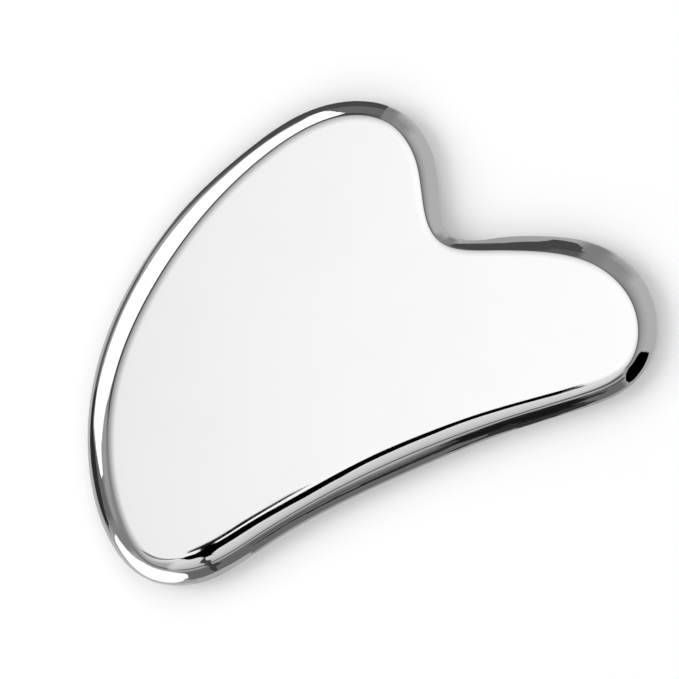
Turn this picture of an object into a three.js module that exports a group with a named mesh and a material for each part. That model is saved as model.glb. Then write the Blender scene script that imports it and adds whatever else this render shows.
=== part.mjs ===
// A heart-shaped gua sha scraper: one solid plate of polished stainless steel.
// The plate lies flat. +X runs along its length from the tail to the right lobe, +Y points
// to the upper lobe, and Z is up from the face it rests on. All lengths are millimetres.
import * as THREE from "three";

// Driving dimensions
const THICKNESS = 4; // flat face to flat face
const CREASE_TURN = THREE.MathUtils.degToRad(10); // how far the surface bends at the crease
const ROLL_WIDTH = 1.1; // soft shoulder between crease and flat face
const ROLL_DROP = 0.05; // how far that shoulder falls
const THINNED_ROLL_WIDTH = 2.3; // the same shoulder where the working edge is ground thinner
const THINNED_ROLL_DROP = 0.25;
const RIM_HANDLE = 0.43; // upright pull of the rim curve, as a share of the crease height
const FLANK_HANDLE = 0.6; // pull of the rim curve at the crease, as a share of the bevel width

// Mesh fineness
const COLUMNS = 200; // sections round the outline
const BEVEL_STEPS = 6;
const ROLL_STEPS = 3;
const SPLINE_SWEEPS = 80; // passes that settle the spline's slopes
const WALK_STEPS = 4000; // steps used to measure along the outline
const NUDGE = 0.001; // share of a span, for reading the outline's direction

// Places the outline passes through, clockwise seen from above. Each has its bevel width,
// and how far the shoulder is thinned there, from 0 (not at all) to 1 (fully).
const LANDMARKS = [
  { x: 7, y: 26.7, bevel: 2.05, thinned: 0 }, // crest of the upper lobe
  { x: 15, y: 25.2, bevel: 1.9, thinned: 0 }, // where the crest starts to fall
  { x: 19.7, y: 21.5, bevel: 2.2, thinned: 0 }, // nose of the upper lobe
  { x: 21.4, y: 14.8, bevel: 2.45, thinned: 0 }, // side of the upper lobe
  { x: 19.5, y: 7.8, bevel: 2.25, thinned: 0 }, // where the side starts into the notch
  { x: 18.9, y: 3.5, bevel: 1.65, thinned: 0 }, // bottom of the notch
  { x: 20.7, y: 1.7, bevel: 1.3, thinned: 0 }, // where the notch turns out
  { x: 25, y: 0.1, bevel: 1.7, thinned: 0 }, // where the notch opens
  { x: 30.7, y: -2.2, bevel: 2.1, thinned: 0 }, // slope down to the right lobe
  { x: 38, y: -7.3, bevel: 2.75, thinned: 0 }, // top of the right lobe
  { x: 41, y: -15.5, bevel: 2.85, thinned: 0 }, // tip of the right lobe
  { x: 36.6, y: -24.4, bevel: 2.35, thinned: 0.1 }, // underside of the right lobe
  { x: 32.8, y: -26.1, bevel: 2.15, thinned: 0.2 }, // foot of the right lobe
  { x: 26.5, y: -26.2, bevel: 2.05, thinned: 0.45 }, // right end of the long edge
  { x: 17, y: -25.1, bevel: 2, thinned: 0.8 }, // long edge, right part
  { x: 0, y: -24.4, bevel: 2.3, thinned: 1 }, // long edge, deepest part of its hollow
  { x: -22, y: -25.8, bevel: 2, thinned: 1 }, // long edge, left part
  { x: -33, y: -26.4, bevel: 2.2, thinned: 0.9 }, // left end of the long edge
  { x: -38.8, y: -22.7, bevel: 2.2, thinned: 0.05 }, // underside of the tail
  { x: -40.9, y: -16.5, bevel: 2.4, thinned: 0 }, // tip of the tail
  { x: -39.7, y: -6.7, bevel: 2.65, thinned: 0 }, // where the tail runs into the back
  { x: -34.5, y: 4.1, bevel: 2.75, thinned: 0 }, // back, lower part
  { x: -24.5, y: 14.5, bevel: 2.95, thinned: 0 }, // back, middle
  { x: -12, y: 21.8, bevel: 2.6, thinned: 0 }, // back, upper part
  { x: -1, y: 25.4, bevel: 2.1, thinned: 0 }, // where the back runs into the crest
];

// Slopes of the smooth closed curve through the values, one at each landmark. Every slope is
// settled against its neighbours until the bend is continuous through each landmark.
function closedSlopes(values, spans) {
  const count = values.length;
  const slopes = values.map(() => 0);
  for (let sweep = 0; sweep < SPLINE_SWEEPS; sweep += 1) {
    for (let i = 0; i < count; i += 1) {
      const before = (i + count - 1) % count;
      const after = (i + 1) % count;
      const rise = (3 * (values[i] - values[before])) / spans[before] ** 2;
      const run = (3 * (values[after] - values[i])) / spans[i] ** 2;
      const pull = slopes[before] / spans[before] + slopes[after] / spans[i];
      slopes[i] = (rise + run - pull) / (2 / spans[before] + 2 / spans[i]);
    }
  }
  return slopes;
}

// Value of the curve at a share f of the span that starts at landmark i.
function hermite(values, slopes, spans, i, f) {
  const next = (i + 1) % values.length;
  const blend = f * f * (3 - 2 * f);
  const leave = f * (1 - f) * (1 - f) * slopes[i];
  const arrive = f * f * (f - 1) * slopes[next];
  return values[i] * (1 - blend) + values[next] * blend + spans[i] * (leave + arrive);
}

// The outline as a function: a distance in spans gives the place, bevel and thinning there.
function makeOutline() {
  const count = LANDMARKS.length;
  const spans = LANDMARKS.map((here, i) => {
    const next = LANDMARKS[(i + 1) % count];
    return Math.hypot(next.x - here.x, next.y - here.y);
  });
  const tracks = {};
  for (const key of ["x", "y", "bevel", "thinned"]) {
    const values = LANDMARKS.map((landmark) => landmark[key]);
    tracks[key] = { values, slopes: closedSlopes(values, spans) };
  }
  return (position) => {
    const wrapped = ((position % count) + count) % count;
    const i = Math.floor(wrapped);
    const read = (key) => hermite(tracks[key].values, tracks[key].slopes, spans, i, wrapped - i);
    return { x: read("x"), y: read("y"), bevel: read("bevel"), thinned: read("thinned") };
  };
}

// Positions that divide the outline into equal lengths.
function evenPositions(outline) {
  const count = LANDMARKS.length;
  const lengths = [0];
  let last = outline(0);
  for (let step = 1; step <= WALK_STEPS; step += 1) {
    const here = outline((step / WALK_STEPS) * count);
    lengths.push(lengths[step - 1] + Math.hypot(here.x - last.x, here.y - last.y));
    last = here;
  }
  const positions = [];
  let step = 0;
  for (let column = 0; column < COLUMNS; column += 1) {
    const goal = (column / COLUMNS) * lengths[WALK_STEPS];
    while (lengths[step + 1] < goal) step += 1;
    const part = (goal - lengths[step]) / (lengths[step + 1] - lengths[step]);
    positions.push(((step + part) / WALK_STEPS) * count);
  }
  return positions;
}

// Upper half of one section, from the rim's widest line to the flat face, as pairs of
// inset from the outline and height above the middle plane.
function sectionProfile(bevel, thinned) {
  const half = THICKNESS / 2;
  const share = THREE.MathUtils.clamp(thinned, 0, 1);
  const rollWidth = THREE.MathUtils.lerp(ROLL_WIDTH, THINNED_ROLL_WIDTH, share);
  const rollDrop = THREE.MathUtils.lerp(ROLL_DROP, THINNED_ROLL_DROP, share);
  const creaseHeight = half - rollDrop;
  const rollSlope = Math.atan((2 * rollDrop) / rollWidth);
  const flankSlope = rollSlope + CREASE_TURN;
  const pull = FLANK_HANDLE * bevel;
  const rim = new THREE.CubicBezierCurve(
    new THREE.Vector2(0, 0),
    new THREE.Vector2(0, RIM_HANDLE * creaseHeight),
    new THREE.Vector2(bevel - pull * Math.cos(flankSlope), creaseHeight - pull * Math.sin(flankSlope)),
    new THREE.Vector2(bevel, creaseHeight),
  );
  const shoulder = new THREE.QuadraticBezierCurve(
    new THREE.Vector2(bevel, creaseHeight),
    new THREE.Vector2(bevel + rollWidth / 2, half),
    new THREE.Vector2(bevel + rollWidth, half),
  );
  return [...rim.getPoints(BEVEL_STEPS), ...shoulder.getPoints(ROLL_STEPS).slice(1)];
}

// Rings of points from the lower flat face, round the rim, to the upper flat face.
function plateRings() {
  const outline = makeOutline();
  const middle = THICKNESS / 2;
  const rows = BEVEL_STEPS + ROLL_STEPS;
  const rings = Array.from({ length: 2 * rows + 1 }, () => []);
  for (const position of evenPositions(outline)) {
    const here = outline(position);
    const behind = outline(position - NUDGE);
    const ahead = outline(position + NUDGE);
    const along = new THREE.Vector2(ahead.x - behind.x, ahead.y - behind.y).normalize();
    // The outline runs clockwise, so its inside is to the right of the direction of travel.
    const inward = new THREE.Vector2(along.y, -along.x);
    sectionProfile(here.bevel, here.thinned).forEach((point, row) => {
      const x = here.x + inward.x * point.x;
      const y = here.y + inward.y * point.x;
      rings[rows - row].push([x, y, middle - point.y]);
      if (row > 0) rings[rows + row].push([x, y, middle + point.y]);
    });
  }
  return rings;
}

// Shift that puts the middle of the plate's box over the origin.
function centringShift(ring) {
  const box = new THREE.Box2();
  for (const [x, y] of ring) box.expandByPoint(new THREE.Vector2(x, y));
  return box.getCenter(new THREE.Vector2()).negate();
}

function plateGeometry() {
  const rings = plateRings();
  const shift = centringShift(rings[BEVEL_STEPS + ROLL_STEPS]);
  const positions = rings.flat().flatMap(([x, y, z]) => [x + shift.x, y + shift.y, z]);
  const faces = [];
  for (let ring = 0; ring < rings.length - 1; ring += 1) {
    for (let column = 0; column < COLUMNS; column += 1) {
      const next = (column + 1) % COLUMNS;
      const low = ring * COLUMNS;
      const high = low + COLUMNS;
      faces.push(low + column, high + column, low + next);
      faces.push(low + next, high + column, high + next);
    }
  }
  const top = (rings.length - 1) * COLUMNS;
  const flat = rings[rings.length - 1].map(([x, y]) => new THREE.Vector2(x, y));
  for (const [a, b, c] of THREE.ShapeUtils.triangulateShape(flat, [])) {
    const turnsLeft = (flat[b].x - flat[a].x) * (flat[c].y - flat[a].y)
      > (flat[b].y - flat[a].y) * (flat[c].x - flat[a].x);
    const [second, third] = turnsLeft ? [b, c] : [c, b];
    faces.push(top + a, top + second, top + third);
    faces.push(a, third, second);
  }
  const geometry = new THREE.BufferGeometry();
  geometry.setAttribute("position", new THREE.Float32BufferAttribute(positions, 3));
  geometry.setIndex(faces);
  geometry.computeVertexNormals();
  return geometry;
}

function polishedSteel() {
  return new THREE.MeshStandardMaterial({ color: "#e6e7e8", roughness: 0.08, metalness: 1 });
}

const scraperPlate = new THREE.Mesh(plateGeometry(), polishedSteel());
scraperPlate.name = "scraper_plate";

const scraper = new THREE.Group();
scraper.name = "gua_sha_scraper";
scraper.add(scraperPlate);

export default scraper;
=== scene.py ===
"""Looks of the gua sha scraper: a mirror-polished steel plate on a white studio floor."""

import math

import bpy
import numpy as np
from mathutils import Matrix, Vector


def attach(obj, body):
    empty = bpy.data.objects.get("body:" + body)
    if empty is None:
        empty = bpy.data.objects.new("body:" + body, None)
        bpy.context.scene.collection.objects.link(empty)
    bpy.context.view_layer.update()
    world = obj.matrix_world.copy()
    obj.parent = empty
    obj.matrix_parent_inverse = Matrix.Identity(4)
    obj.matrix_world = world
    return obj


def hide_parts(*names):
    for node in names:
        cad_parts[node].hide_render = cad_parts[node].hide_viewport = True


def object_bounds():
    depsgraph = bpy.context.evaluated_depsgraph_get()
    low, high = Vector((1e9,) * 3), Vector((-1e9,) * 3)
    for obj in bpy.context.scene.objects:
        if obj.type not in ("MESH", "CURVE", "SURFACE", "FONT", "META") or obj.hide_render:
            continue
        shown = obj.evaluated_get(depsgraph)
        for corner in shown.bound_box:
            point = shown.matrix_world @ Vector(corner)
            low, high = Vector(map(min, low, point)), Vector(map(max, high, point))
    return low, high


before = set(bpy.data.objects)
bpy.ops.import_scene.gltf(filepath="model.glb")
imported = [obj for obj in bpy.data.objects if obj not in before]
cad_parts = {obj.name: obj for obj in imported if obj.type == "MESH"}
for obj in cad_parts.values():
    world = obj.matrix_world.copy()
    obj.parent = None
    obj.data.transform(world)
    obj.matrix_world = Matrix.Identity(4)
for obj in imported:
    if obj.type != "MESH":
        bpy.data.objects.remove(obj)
cad_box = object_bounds()

NODE = "scraper_plate"
MM = 0.001

# Rows of the CAD rim, counted up from its widest line
CREASE_ROW = 6
FLAT_ROW = 9
WELD = 0.001 * MM  # points nearer than this are one point
LEVEL = 0.01 * MM  # how far off the middle a point of the widest line may be

# Fineness of the visible mesh
COLUMNS = 720
BEVEL_ROWS = 20
CREASE_ROWS = 4
SHOULDER_ROWS = 11
FACE_RINGS = 9
FACE_CROWDING = 1.4  # above 1 crowds the face's rings towards its edge
SMOOTH_WAVES = 60  # waves per turn round the plate from where the widths are smoothed away

# Section of the rim, as in the CAD
CREASE_TURN = math.radians(10)
RIM_HANDLE = 0.43  # share of the crease's height
FLANK_HANDLE = 0.6  # share of the bevel's width
CREASE_WEAR = 0.12 * MM  # half width of the rounding that use has put on the crease
FACE_CENTRE = (-2.5 * MM, -4.5 * MM)  # every point of the outline is in sight of this one

# Steel, and how much each mark roughens it
STEEL_TONE = 0.93
SMUDGE_TONE = 0.01  # how much a smudge takes off that
CLEAN_ROUGHNESS = 0.02
SMUDGE_ROUGHNESS = 0.02
SCRATCH_ROUGHNESS = 0.03
WEAR_ROUGHNESS = 0.03
WEAR_REACH = 0.3 * MM  # how far from the crease its wear fades out

# Noises are scale, detail and roughness. Edges are where a mark starts and where it is full.
SMUDGE_NOISE = (90, 4, 0.6)
SMUDGE_EDGE = (0.45, 0.7)

# Polishing lines that run round the rim, on the bevel only
STREAK_STRETCH = (9, 9, 4.5)  # twice round the plate, and across the rim per millimetre
STREAK_NOISE = (1.0, 3, 0.6)
STREAK_DEPTH = 0.002 * MM
BEVEL_FACING = (0.87, 0.98)  # upward part of the normal, on the bevel and on the shoulder
RIM_SWAY = 0.11  # how far the lines turn the normal along the rim

# Hairline scratches: each set's turn in radians and the scale of the patches it comes in
SCRATCHES = [(0.5, 180), (-0.8, 128)]
SCRATCH_STRETCH = (60, 6000, 60)
SCRATCH_EDGE = (0.68, 0.8)
PATCH_EDGE = (0.5, 0.65)
SCRATCH_STRENGTH = 0.5
SCRATCH_DEPTH = 0.0003 * MM

# How the plate lies in the picture
PLATE_TURN = math.radians(24)  # its length is turned this far from the picture's level
PICTURE_WIDTH = 93.45 * MM
PICTURE_SHIFT = (0.86 * MM, -3.73 * MM)  # from the plate's centre to the picture's
LENS = 400
SENSOR = 36
CLIP = (0.01, 20)  # nearest and farthest that the camera sees


# ---------- reading the CAD plate ----------


def welded_plate(mesh):
    """The CAD plate's points with doubles joined, and its triangles."""
    points = np.array([v.co for v in mesh.vertices], float)
    keys = np.round(points / WELD).astype(int)
    _, first, back = np.unique(keys, axis=0, return_index=True, return_inverse=True)
    back = back.ravel()
    triangles = [[back[i] for i in polygon.vertices] for polygon in mesh.polygons]
    return points[first], triangles


def neighbours(count, triangles):
    """The points that share an edge with each point."""
    near = [set() for _ in range(count)]
    for a, b, c in triangles:
        near[a] |= {b, c}
        near[b] |= {a, c}
        near[c] |= {a, b}
    return near


def in_order(row, near, points):
    """The points of one closed row, anticlockwise seen from above."""
    walk = [max(row, key=lambda i: points[i, 0])]
    left = set(row) - set(walk)
    steps = {i for i in near[walk[0]] & left if points[i, 1] > points[walk[0], 1]}
    while steps:
        here = points[walk[-1]]
        walk.append(min(steps, key=lambda i: np.linalg.norm(points[i] - here)))
        left.remove(walk[-1])
        steps = near[walk[-1]] & left
    return points[walk]


def rim_rows(points, triangles):
    """Rows of the rim's upper half, from the widest line up to the flat face."""
    near = neighbours(len(points), triangles)
    middle = (points[:, 2].min() + points[:, 2].max()) / 2
    row = {i for i in range(len(points)) if abs(points[i, 2] - middle) < LEVEL}
    rows = [in_order(row, near, points)]
    seen = set(row)
    for _ in range(FLAT_ROW):
        reached = {j for i in row for j in near[i]}
        row = {j for j in reached - seen if points[j, 2] > middle}
        seen |= row
        rows.append(in_order(row, near, points))
    return rows


def made_finer(samples, count):
    """Finer even samples of a closed smooth curve in the plane, and its direction at each."""
    waves = np.fft.fftfreq(len(samples), 1 / len(samples)).astype(int)
    spectrum = np.zeros(count, complex)
    spectrum[waves] = np.fft.fft(samples) * count / len(samples)
    fine_waves = np.fft.fftfreq(count, 1 / count)
    way = np.fft.ifft(spectrum * fine_waves * 1j)
    return np.fft.ifft(spectrum), way / abs(way)


def softened(values):
    """Values round the plate with the steps between CAD columns faded out."""
    waves = np.fft.fftfreq(len(values), 1 / len(values))
    return np.fft.ifft(np.fft.fft(values) * np.exp(-((waves / SMOOTH_WAVES) ** 2))).real


def inset_of(row, outline):
    """How far inside each outline point the row runs."""
    start = row[:, 0] + 1j * row[:, 1]
    step = np.roll(start, -1) - start
    along = ((outline[:, None] - start) * step.conj()).real / abs(step) ** 2
    nearest = start + np.clip(along, 0, 1) * step
    return softened(abs(outline[:, None] - nearest).min(1))


def height_of(row, outline):
    """Height of the row beside each outline point."""
    gaps = abs(outline[:, None] - (row[:, 0] + 1j * row[:, 1]))
    return softened(row[gaps.argmin(1), 2])


# ---------- the visible plate ----------


def bezier(controls, t):
    """Points on one Bezier curve per column, at a share t of each."""
    while len(controls) > 1:
        controls = [a + (b - a) * t for a, b in zip(controls, controls[1:])]
    return controls[0]


def section_rows(bevel, roll, drop, half):
    """Inset and height of each row of the rim's upper half, as complex numbers per column.

    The bevel and the roll of the shoulder are widths. The crease lies a drop below the face.
    """
    crease = half - drop
    slope = np.arctan(2 * drop / roll) + CREASE_TURN
    pull = FLANK_HANDLE * bevel
    corner = bevel + 1j * crease
    flank = [0 * corner, 1j * RIM_HANDLE * crease, corner - pull * np.exp(1j * slope), corner]
    shoulder = [corner, bevel + roll / 2 + 1j * half, bevel + roll + 1j * half]
    flank_end = 1 - CREASE_WEAR / (3 * pull * np.cos(slope))
    shoulder_start = CREASE_WEAR / roll
    worn = [bezier(flank, flank_end), corner, bezier(shoulder, shoulder_start)]
    rows = [bezier(flank, t * flank_end) for t in np.linspace(0, 1, BEVEL_ROWS + 1)]
    rows += [bezier(worn, t) for t in np.linspace(0, 1, CREASE_ROWS + 2)[1:-1]]
    for t in np.linspace(0, 1, SHOULDER_ROWS + 1):
        rows.append(bezier(shoulder, shoulder_start + (1 - shoulder_start) * t))
    return rows


def face_rings(edge):
    """Rings that fill the flat face from its edge in to its centre point."""
    centre = complex(*FACE_CENTRE)
    shares = np.linspace(0, 1, FACE_RINGS + 1)[1:-1] ** FACE_CROWDING
    return [edge + (centre - edge) * share for share in shares]


def read_rim(cad_mesh):
    """The CAD rim in even columns: outline, inward way, bevel, roll and drop. Then its heights."""
    points, triangles = welded_plate(cad_mesh)
    rows = rim_rows(points, triangles)
    low, high = points[:, 2].min(), points[:, 2].max()
    outline, way = made_finer(rows[0][:, 0] + 1j * rows[0][:, 1], COLUMNS)
    bevel = inset_of(rows[CREASE_ROW], outline)
    roll = inset_of(rows[FLAT_ROW], outline) - bevel
    drop = high - height_of(rows[CREASE_ROW], outline)
    return outline, way * 1j, bevel, roll, drop, low, high


def upper_rows(outline, inward, section, half):
    """Plan, height and inset of each row, from the widest line up and in over the face."""
    rows = [(outline + inward * row.real, row.imag, row.real) for row in section]
    edge, _, inset = rows[-1]
    rows += [(ring, np.full(COLUMNS, half), inset) for ring in face_rings(edge)]
    return rows


def both_sides(rows):
    """All rows from the middle of the underside round to the middle of the top, with their side."""
    return [(-1, row) for row in rows[:0:-1]] + [(1, row) for row in rows]


def mesh_points(rows, bevel, low, high):
    """The mesh's points, how worn each is, and where each lies along the polishing lines."""
    middle = (low + high) / 2
    turn = np.exp(2j * math.pi * np.arange(COLUMNS) / COLUMNS)
    co = []
    wear = []
    lines = []
    for side, (plan, height, inset) in rows:
        co.append(np.stack([plan.real, plan.imag, middle + side * height], -1))
        wear.append(np.exp(-(((inset - bevel) / WEAR_REACH) ** 2)))
        lines.append(np.stack([turn.real, turn.imag, inset / MM], -1))
    co.append([[*FACE_CENTRE, low], [*FACE_CENTRE, high]])
    wear.append(np.zeros(2))
    lines.append(np.zeros((2, 3)))
    return np.concatenate(co), np.concatenate(wear), np.concatenate(lines)


def closed_strip(lower, upper):
    """Quads between two rows that go round the plate."""
    return [
        (lower + i, lower + (i + 1) % COLUMNS, upper + (i + 1) % COLUMNS, upper + i)
        for i in range(COLUMNS)
    ]


def mesh_faces(row_count):
    """Strips between the rows, and a fan round the middle of each side."""
    last = (row_count - 1) * COLUMNS
    bottom = row_count * COLUMNS
    top = bottom + 1
    faces = []
    for k in range(row_count - 1):
        faces += closed_strip(k * COLUMNS, (k + 1) * COLUMNS)
    for i in range(COLUMNS):
        after = (i + 1) % COLUMNS
        faces.append((bottom, after, i))
        faces.append((top, last + i, last + after))
    return faces


def build_plate(cad_mesh):
    """The plate's fine mesh, lofted along the rim of the CAD plate."""
    outline, inward, bevel, roll, drop, low, high = read_rim(cad_mesh)
    half = (high - low) / 2
    section = section_rows(bevel, roll, drop, half)
    rows = both_sides(upper_rows(outline, inward, section, half))
    co, wear, lines = mesh_points(rows, bevel, low, high)

    mesh = bpy.data.meshes.new("polished_plate")
    mesh.from_pydata(co.tolist(), [], mesh_faces(len(rows)))
    mesh.polygons.foreach_set("use_smooth", [True] * len(mesh.polygons))
    worn = mesh.attributes.new("wear", "FLOAT", "POINT")
    worn.data.foreach_set("value", wear.astype(np.float32))
    along = mesh.attributes.new("polish_lines", "FLOAT_VECTOR", "POINT")
    along.data.foreach_set("vector", lines.astype(np.float32).ravel())
    mesh.update()
    return mesh


# ---------- node helpers ----------


class Graph:
    """Short calls for building a node tree."""

    def __init__(self, tree):
        self.tree = tree
        tree.nodes.clear()

    def node(self, kind, inputs=None, **settings):
        made = self.tree.nodes.new(kind)
        for key, value in settings.items():
            setattr(made, key, value)
        for key, value in (inputs or {}).items():
            if isinstance(value, bpy.types.NodeSocket):
                self.tree.links.new(value, made.inputs[key])
            else:
                made.inputs[key].default_value = value
        return made

    def math(self, operation, a, b=0.0, clamp=False):
        made = self.node("ShaderNodeMath", {0: a, 1: b}, operation=operation, use_clamp=clamp)
        return made.outputs[0]

    def ramp(self, value, start, end, low=0.0, high=1.0):
        """Low below start, high above end, and a smooth change between them."""
        inputs = {"Value": value, "From Min": start, "From Max": end, "To Min": low, "To Max": high}
        made = self.node("ShaderNodeMapRange", inputs, interpolation_type="SMOOTHSTEP")
        return made.outputs["Result"]

    def blend(self, share, a, b):
        """The value a where the share is 0, and b where it is 1."""
        made = self.node("ShaderNodeMix", {0: share, 2: a, 3: b}, data_type="FLOAT")
        return made.outputs[0]

    def noise(self, vector, scale, detail=2.0, roughness=0.5):
        inputs = {"Vector": vector, "Scale": scale, "Detail": detail, "Roughness": roughness}
        return self.node("ShaderNodeTexNoise", inputs).outputs["Fac"]


# ---------- material ----------


def polished_steel():
    """Mirror-polished steel with smudges, wiping scratches, polishing lines and a duller crease."""
    material = bpy.data.materials.new("polished_steel")
    material.use_nodes = True
    g = Graph(material.node_tree)
    place = g.node("ShaderNodeTexCoord").outputs["Object"]
    wear = g.node("ShaderNodeAttribute", attribute_name="wear").outputs["Fac"]
    smudge = g.ramp(g.noise(place, *SMUDGE_NOISE), *SMUDGE_EDGE)
    scratches = hairlines(g, place)
    tone = g.math("SUBTRACT", STEEL_TONE, g.math("MULTIPLY", smudge, SMUDGE_TONE))
    surface = g.node(
        "ShaderNodeBsdfPrincipled",
        {
            "Base Color": g.node("ShaderNodeCombineColor", {0: tone, 1: tone, 2: tone}).outputs[0],
            "Metallic": 1.0,
            "Roughness": marked_roughness(g, smudge, scratches, wear),
            "Normal": marked_normal(g, scratches),
        },
    )
    g.node("ShaderNodeOutputMaterial", {"Surface": surface.outputs[0]})
    return material


def marked_roughness(g, smudge, scratches, wear):
    """The clean steel's roughness with what each mark adds."""
    roughness = g.math("ADD", CLEAN_ROUGHNESS, g.math("MULTIPLY", smudge, SMUDGE_ROUGHNESS))
    roughness = g.math("ADD", roughness, g.math("MULTIPLY", scratches, SCRATCH_ROUGHNESS))
    return g.math("ADD", roughness, g.math("MULTIPLY", wear, WEAR_ROUGHNESS))


def marked_normal(g, scratches):
    """The normal with polishing lines on the bevel, and scratches all over."""
    facing = g.node("ShaderNodeNewGeometry").outputs["Normal"]
    lines = g.node("ShaderNodeAttribute", attribute_name="polish_lines").outputs["Vector"]
    combed = g.node("ShaderNodeMapping", {"Vector": lines, "Scale": STREAK_STRETCH}).outputs[0]
    streaks = g.noise(combed, *STREAK_NOISE)
    upright = g.node("ShaderNodeSeparateXYZ", {0: facing}).outputs["Z"]
    on_bevel = g.ramp(g.math("ABSOLUTE", upright), *BEVEL_FACING, 1.0, 0.0)
    swayed = swayed_normal(g, facing, streaks)
    lined = bumped(g, streaks, on_bevel, STREAK_DEPTH, swayed)
    return bumped(g, scratches, SCRATCH_STRENGTH, SCRATCH_DEPTH, lined)


def bumped(g, height, strength, depth, normal):
    """The normal with one more bump on top."""
    inputs = {"Height": height, "Strength": strength, "Distance": depth, "Normal": normal}
    return g.node("ShaderNodeBump", inputs).outputs[0]


def swayed_normal(g, facing, streaks):
    """The normal swayed a little along the rim, which frays the ends of reflections."""
    along = g.node(
        "ShaderNodeVectorMath", {0: facing, 1: (0, 0, 1)}, operation="CROSS_PRODUCT"
    )
    sway = g.math("MULTIPLY", g.math("SUBTRACT", streaks, 0.5), RIM_SWAY)
    aside = g.node(
        "ShaderNodeVectorMath", {0: along.outputs[0], "Scale": sway}, operation="SCALE"
    )
    total = g.node("ShaderNodeVectorMath", {0: facing, 1: aside.outputs[0]}, operation="ADD")
    return g.node("ShaderNodeVectorMath", {0: total.outputs[0]}, operation="NORMALIZE").outputs[0]


def hairlines(g, place):
    """Fine straight scratches in two directions, as left by wiping the plate."""
    total = 0.0
    for turn, patch_scale in SCRATCHES:
        turned = g.node(
            "ShaderNodeMapping",
            {"Vector": place, "Rotation": (0, 0, turn), "Scale": SCRATCH_STRETCH},
        )
        fine = g.ramp(g.noise(turned.outputs[0], 1.0, 1), *SCRATCH_EDGE)
        patches = g.ramp(g.noise(place, patch_scale, 1), *PATCH_EDGE)
        total = g.math("ADD", total, g.math("MULTIPLY", fine, patches), clamp=True)
    return total


# ---------- studio ----------

# What stands round the plate and shows only in its polish. Directions are azimuths in the
# picture, 0 to its right and 90 to its top, and angles down from straight overhead.
# Soft regions. Each: azimuth, half width, softness, from, to, softness, brightness.
PANELS = [
    (25, 50, 50, 46, 185, 20, 0.455),  # pale wall at the right
    (52, 10, 16, 70, 96, 30, 0.35),  # shade towards its corner, low
    (52, 10, 16, 30, 70, 24, 0.27),  # and high
    (66, 6, 12, 24, 125, 24, 0.22),  # the corner itself
    (77, 7, 4, 14, 50, 4, 0.1),  # top of the far wall
    (-150, 70, 12, 98, 185, 10, 0.5),  # floor towards the light
    (-176, 8, 8, 30, 42, 4, 0.34),  # above the end of the left window
    (-168, 10, 8, 44, 66, 10, 0.14),  # grey gap between the two windows
    (-150, 7, 8, 20, 66, 10, 0.22),  # its lighter side
    (-164, 18, 10, 12, 33, 6, 0.25),  # ceiling above both windows
    (-112, 32, 14, 13, 20, 8, 0.42),  # pale ceiling on the near side
    (-66, 24, 10, 9, 32, 4, 0.76),  # that ceiling by the boom, darker step by step
    (-66, 24, 10, 15, 32, 7, 0.64),
    (-66, 24, 10, 22, 32, 8, 0.47),
    (-66, 19, 6, 31, 44, 2, 0.1),  # shelves under it
    (-66, 19, 4, 44, 47.5, 2, 0.45),
    (-66, 19, 4, 47.5, 50, 2, 0.17),
    (-66, 19, 4, 50, 56, 2, 0.105),
    (-62, 11, 6, 56, 102, 3, 0.145),  # wall under the shelves
    (-77, 5, 6, 56, 68, 4, 0.145),
]
ROOM = 0.36  # the grey sides of the studio
GAP = 0.05  # dark ring between the overhead light and the sides
GAP_EDGE = (20, 44)

# Soft round light overhead. Its angles are degrees from its middle.
LIGHT_MIDDLE = (-5, 5)  # azimuth, and angle from overhead
LIGHT_FADE = (2, 19)  # where it starts and stops fading
LIGHT_BRIGHTNESS = (1.06, 0.2)  # at those two
LIGHT_EDGE = (15, 19)  # where it gives way to what is behind it

FAR = 60.0  # distance of the first far card
FAR_SHRINK = 0.6  # distance of each next one, as a share of the last

# Sharp-edged cards far off, each in front of the one before, as corners of azimuth and angle
FAR_CARDS = [
    (
        "far_wall",
        0.064,
        [
            (84, 99), (81, 92), (76, 82), (72.5, 65), (71, 45), (81, 44), (85, 22), (118, 20),
            (118, 78), (92, 77), (86, 76),
        ],
    ),
    (
        "left_ledge",
        0.028,
        [
            (-155, 81), (-157, 69), (-166, 60), (-173, 60), (180, 66), (176, 72),
            (168, 72), (168, 90), (178, 97), (-178, 96), (-170, 88), (-160, 84),
        ],
    ),
    (
        "dark_floor",
        0.11,
        [
            (170, 92), (170, 72), (150, 73), (147, 84), (141, 88), (135, 86), (129, 84),
            (119, 76), (108, 85), (100, 88), (100, 150), (126, 150), (140, 140), (146, 108),
            (150, 95), (160, 90),
        ],
    ),
    (
        "left_window",
        1.12,
        [
            (-171, 49), (-171, 44), (-178, 42), (176, 38), (165, 31), (140, 28), (108, 30),
            (97, 44), (104, 60), (108, 84), (119, 71), (129, 80), (141, 68), (152, 64),
            (163, 64), (171, 69), (178, 66), (-178, 58),
        ],
    ),
    (
        "near_window",
        1.12,
        [
            (-81, 54.5), (-82.5, 50.5), (-90, 48), (-106, 44), (-127, 43), (-138, 51),
            (-154, 60), (-150, 80), (-138, 93), (-122, 103), (-110, 104), (-98, 97),
            (-90, 85), (-86, 72), (-82.5, 60),
        ],
    ),
    (
        "flag",
        0.0,
        [
            (-17, 82), (-17, 47), (-22, 42), (-38, 41), (-46, 48), (-49, 62),
            (-48, 88), (-44, 99), (-33, 94), (-22, 87),
        ],
    ),
]

# Cards that only one part of the rim sees, since rays from anywhere else pass through them, so each
# is a painted dark reflection on that part alone. Each: middle of that part in the plate's frame,
# and reach
SEEN_ONLY_FROM = {
    "flag": ((38, -26, 2), 5.3),
    "notch_shade": ((23, 1, 2), 3.6),
}

# Cards close by, as corners in millimetres in the plate's frame
STAND_Y = -680  # the stand, with its head and neck a little in front
TAIL_Y = -50
NOTCH_Y = 5.5
BOOM_Z = 300


def lying(z, corners):
    """Corners of a card that lies flat, from their x and y."""
    return [(x, y, z) for x, y in corners]


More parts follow.
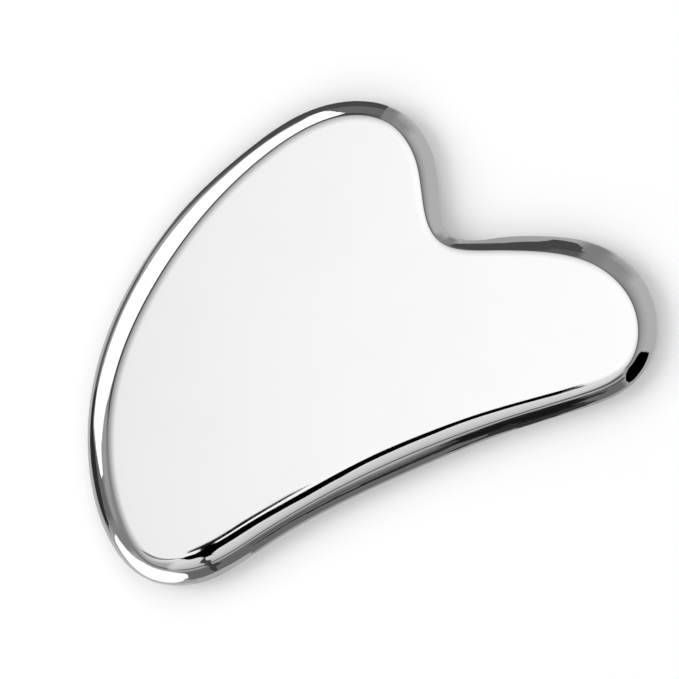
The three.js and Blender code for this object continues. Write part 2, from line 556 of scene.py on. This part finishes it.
def standing(y, corners):
    """Corners of a card that stands along the plate's length, from their x and z."""
    return [(x, y, z) for x, z in corners]


NEAR_CARDS = [
    ("crest_floor", 0.065, lying(0, [
        (-16, 20), (12, 20), (15, 25.5), (18.2, 24.3), (19.4, 23.9), (26.3, 30.7), (24, 34),
        (0, 60),
    ])),
    ("crest_base", 0.07, [(-2, 44, 0), (26.3, 31.3, 0), (26.3, 31.3, 5.5), (-2, 44, 5.5)]),
    ("crest_card", 0.14, [(13, 37.2, 5.5), (26.3, 31.3, 5.5), (26.3, 31.3, 18), (16.5, 35.7, 18)]),
    # painted shadow: a dark card for the shaded floor in the notch, seen only in the rim beside it
    ("notch_shade", 0.07, standing(NOTCH_Y, [
        (22.8, 2.8), (23.6, 1.7), (24.7, 2.1), (25.4, 2.9), (26.6, 4), (28.2, 5), (26, 5.2),
        (23, 5.2),
    ])),
    ("stand", 0.035, standing(STAND_Y, [
        (-75, -2000), (-38, -2000), (-38, -280), (-18, -160), (-14, -60), (-8, 10), (-8, 80),
        (-23, 110), (-24, 300), (-18, 370), (-6, 400), (-6, 470), (-22, 500), (-14, 530),
        (-14, 555), (-30, 590), (-75, 615),
    ])),
    ("stand_head", 0.009, standing(STAND_Y + 2, [
        (-75, 120), (-44, 120), (-36, 300), (-24, 400), (-20, 480), (-30, 580), (-75, 600),
    ])),
    ("stand_neck", 0.05, standing(STAND_Y + 4, [
        (-40, 480), (-56, 520), (-76, 600), (-104, 1400), (-121, 1800), (-138, 1800),
        (-112, 1300), (-96, 640), (-62, 560),
    ])),
    ("bar", 0.02, standing(STAND_Y, [
        (-22, 360), (-22, 450), (-3, 465), (12, 455), (30, 410), (62, 420), (62, 380), (38, 325),
        (12, 362),
    ])),
    ("tail_floor", 0.42, standing(TAIL_Y, [
        (-37.5, -30), (-20, -30), (-20, 7), (-27, 10.8), (-37.5, 11.3),
    ])),
    ("tail_shade", 0.14, standing(TAIL_Y, [
        (-20, 7), (-20, 26), (-40, 26), (-40, 11), (-27, 10.8),
    ])),
    ("leg", 0.045, standing(TAIL_Y + 0.5, [
        (-28.6, 13.6), (-29.2, 17), (-29.4, 20.5), (-27.6, 22.3), (-28.2, 24.6), (-30, 26),
        (-30.2, 34), (-31.3, 56), (-31, 64), (-32.3, 72), (-32.9, 79), (-33.2, 95), (-34, 95),
        (-35, 78), (-34.3, 70), (-32.9, 63), (-33.2, 54), (-31.9, 32), (-31.6, 24), (-30.9, 18),
        (-29.9, 13.8),
    ])),
    ("boom", 0.0, lying(BOOM_Z, [
        (32, -55), (29.5, -58), (31, -51.5), (27.5, -56), (20, -56.5), (13, -52), (6, -52),
        (-3, -46.5), (-8, -48), (-13, -51), (-18, -49.5), (-24, -42.5), (-30, -39.5),
        (-34.3, -38.5), (-35.6, -29), (-38.5, -29.3), (-39, -40), (-41.2, -51), (-43, -46.5),
        (-44.7, -49), (-45.6, -43), (-46.2, -54), (-45.6, -80), (-43.7, -88), (-43.6, -106),
        (-39, -108), (-35.5, -109), (-34, -95), (-30, -86.5), (-22, -85.5), (-18, -87),
        (-11, -96), (-8, -93), (-3, -83), (5, -84), (9, -78), (14, -80.5), (21.5, -83.5),
        (26.5, -79), (25, -74), (28.5, -80), (31, -67), (28.5, -66),
    ])),
    ("cable", 0.0, lying(BOOM_Z, [
        (-15, -27.8), (-20, -26.9), (-30, -27.4), (-38.5, -28.8), (-40.8, -29.2), (-40.5, -30.4),
        (-37, -31), (-31, -30.3), (-27, -30.4), (-20, -29.5),
    ])),
    ("loose_end", 0.22, lying(BOOM_Z, [
        (-45, -46), (-47, -34), (-48.5, -27.6), (-73, -30.8), (-95, -32), (-73, -31.3),
        (-48, -28.2), (-46.2, -34),
    ])),
]

# Soft discs that light the floor and shape the shadow: azimuth, angle from overhead, and power
FLOOR_LIGHTS = [
    ("left_light", 171, 55, 11.6),
    ("near_light", -116, 58, 4.7),
    ("far_light", 100, 55, 5),
]
DISC_SIZE = 1.2
DISC_DISTANCE = 1.5
FILL = 0.59  # light on the floor from all round
SEEN = 0.575  # brightness of the studio behind the floor, which meets the floor's far edge

FLOOR_TONE = 0.97
FLOOR_REACH = 8.0
FLOOR_GAP = 0.02 * MM  # how far the floor lies below the plate


def studio_reflection(g):
    """Brightness of the staged studio in each direction, as seen in the polish."""
    view = g.node("ShaderNodeTexCoord").outputs["Generated"]
    upright = g.node("ShaderNodeSeparateXYZ", {0: view}).outputs["Z"]
    polar = g.math("MULTIPLY", g.math("ARCCOSINE", upright), 180 / math.pi)
    level = g.node("ShaderNodeVectorMath", {0: view, 1: (1, 1, 0)}, operation="MULTIPLY")
    heading = g.node("ShaderNodeVectorMath", {0: level.outputs[0]}, operation="NORMALIZE")

    tone = overhead_light(g, view, g.ramp(polar, *GAP_EDGE, GAP, ROOM))
    for azimuth, half, soft, start, end, fade, brightness in PANELS:
        facing = g.node(
            "ShaderNodeVectorMath",
            {0: heading.outputs[0], 1: direction(azimuth, 90)},
            operation="DOT_PRODUCT",
        ).outputs["Value"]
        wide = math.cos(math.radians(half + soft / 2))
        near = math.cos(math.radians(max(half - soft / 2, 0)))
        across = g.ramp(facing, wide, near)
        below = g.ramp(polar, start - fade / 2, start + fade / 2)
        above = g.ramp(polar, end - fade / 2, end + fade / 2, 1.0, 0.0)
        share = g.math("MULTIPLY", across, g.math("MULTIPLY", below, above))
        tone = g.blend(share, tone, brightness)
    return tone


def direction(azimuth, polar):
    """Direction in the plate's frame for an azimuth in the picture and an angle from overhead."""
    turned = math.radians(azimuth) - PLATE_TURN
    down = math.radians(polar)
    flat = math.sin(down)
    return Vector((math.cos(turned) * flat, math.sin(turned) * flat, math.cos(down)))


def overhead_light(g, view, tone):
    """Adds the soft round light that hangs over the plate, a little to its right."""
    facing = g.node(
        "ShaderNodeVectorMath", {0: view, 1: direction(*LIGHT_MIDDLE)}, operation="DOT_PRODUCT"
    )
    off_middle = g.math("ARCCOSINE", g.math("MINIMUM", facing.outputs["Value"], 1.0))
    degrees = g.math("MULTIPLY", off_middle, 180 / math.pi)
    light = g.ramp(degrees, *LIGHT_FADE, *LIGHT_BRIGHTNESS)
    return g.blend(g.ramp(degrees, *LIGHT_EDGE, 1.0, 0.0), tone, light)


def build_world():
    """The staged studio for the polish, an even fill for the floor and a plain backdrop."""
    world = bpy.data.worlds.new("studio")
    bpy.context.scene.world = world
    world.use_nodes = True
    g = Graph(world.node_tree)
    path = g.node("ShaderNodeLightPath").outputs
    mirrored, fill, seen = [
        g.node("ShaderNodeBackground", {"Color": (1, 1, 1, 1), "Strength": strength}).outputs[0]
        for strength in (studio_reflection(g), FILL, SEEN)
    ]
    plain = g.node("ShaderNodeMixShader", {0: path["Is Camera Ray"], 1: fill, 2: seen}).outputs[0]
    mixed = g.node("ShaderNodeMixShader", {0: path["Is Glossy Ray"], 1: plain, 2: mirrored})
    g.node("ShaderNodeOutputWorld", {"Surface": mixed.outputs[0]})


def away_from(g, spot, reach):
    """One for rays that start out of reach of a spot on the rim."""
    geometry = g.node("ShaderNodeNewGeometry").outputs
    length = g.node("ShaderNodeLightPath").outputs["Ray Length"]
    back = g.node(
        "ShaderNodeVectorMath", {0: geometry["Incoming"], "Scale": length}, operation="SCALE"
    )
    start = g.node(
        "ShaderNodeVectorMath", {0: geometry["Position"], 1: back.outputs[0]}, operation="ADD"
    )
    gap = g.node(
        "ShaderNodeVectorMath", {0: start.outputs[0], 1: Vector(spot) * MM}, operation="DISTANCE"
    )
    return g.math("GREATER_THAN", gap.outputs["Value"], reach * MM)


def flat_piece(name, corners, shader, settings, seen_only_from=None):
    """A staged flat shape with one plain shader, clear to rays from beyond its spot and reach."""
    mesh = bpy.data.meshes.new(name)
    mesh.from_pydata(corners, [], [tuple(range(len(corners)))])
    made = bpy.data.objects.new(name, mesh)
    bpy.context.scene.collection.objects.link(made)
    material = bpy.data.materials.new(name)
    material.use_nodes = True
    g = Graph(material.node_tree)
    surface = g.node(shader, settings).outputs[0]
    if seen_only_from:
        away = away_from(g, *seen_only_from)
        clear = g.node("ShaderNodeBsdfTransparent").outputs[0]
        surface = g.node("ShaderNodeMixShader", {0: away, 1: surface, 2: clear}).outputs[0]
    g.node("ShaderNodeOutputMaterial", {"Surface": surface})
    mesh.materials.append(material)
    return made


def build_floor():
    """The white floor, which the polish doesn't see."""
    low = cad_box[0].z - FLOOR_GAP
    sides = ((-1, -1), (1, -1), (1, 1), (-1, 1))
    corners = [(x * FLOOR_REACH, y * FLOOR_REACH, low) for x, y in sides]
    paint = {"Color": (FLOOR_TONE, FLOOR_TONE, FLOOR_TONE, 1)}
    floor = flat_piece("floor", corners, "ShaderNodeBsdfDiffuse", paint)
    floor.visible_glossy = False


def build_cards():
    """Cards that only the polish sees."""
    shapes = [
        (name, tone, [direction(*corner) * FAR * FAR_SHRINK**order for corner in corners])
        for order, (name, tone, corners) in enumerate(FAR_CARDS)
    ]
    shapes += [
        (name, tone, [Vector(corner) * MM for corner in corners])
        for name, tone, corners in NEAR_CARDS
    ]
    for name, tone, corners in shapes:
        light = {"Color": (1, 1, 1, 1), "Strength": tone}
        card = flat_piece(name, corners, "ShaderNodeEmission", light, SEEN_ONLY_FROM.get(name))
        for kind in ("camera", "diffuse", "shadow", "transmission"):
            setattr(card, "visible_" + kind, False)


def build_floor_lights():
    """Soft discs that only the floor sees."""
    for name, azimuth, angle, watts in FLOOR_LIGHTS:
        data = bpy.data.lights.new(name, "AREA")
        data.shape = "DISK"
        data.size = DISC_SIZE
        data.energy = watts
        light = bpy.data.objects.new(name, data)
        bpy.context.scene.collection.objects.link(light)
        light.location = direction(azimuth, angle) * DISC_DISTANCE
        light.rotation_mode = "QUATERNION"
        light.rotation_quaternion = light.location.to_track_quat("Z", "Y")
        light.visible_glossy = False
        light.visible_camera = False


def build_camera():
    """A long lens straight above the plate, turned as the plate lies in the picture."""
    data = bpy.data.cameras.new("camera")
    data.lens = LENS
    data.sensor_width = SENSOR
    camera = bpy.data.objects.new("camera", data)
    bpy.context.scene.collection.objects.link(camera)
    shift = direction(0, 90) * PICTURE_SHIFT[0] + direction(90, 90) * PICTURE_SHIFT[1]
    distance = PICTURE_WIDTH * LENS / SENSOR
    camera.location = shift + Vector((0, 0, distance + cad_box[1].z))
    camera.rotation_euler = (0, 0, -PLATE_TURN)
    data.clip_start, data.clip_end = CLIP
    bpy.context.scene.camera = camera


# ---------- put together ----------

plate = bpy.data.objects.new("polished_plate", build_plate(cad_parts[NODE].data))
bpy.context.scene.collection.objects.link(plate)
plate.data.materials.append(polished_steel())
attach(plate, "root")
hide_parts(NODE)

build_world()
build_floor()
build_cards()
build_floor_lights()
build_camera()
bpy.context.scene.view_settings.view_transform = "Standard"
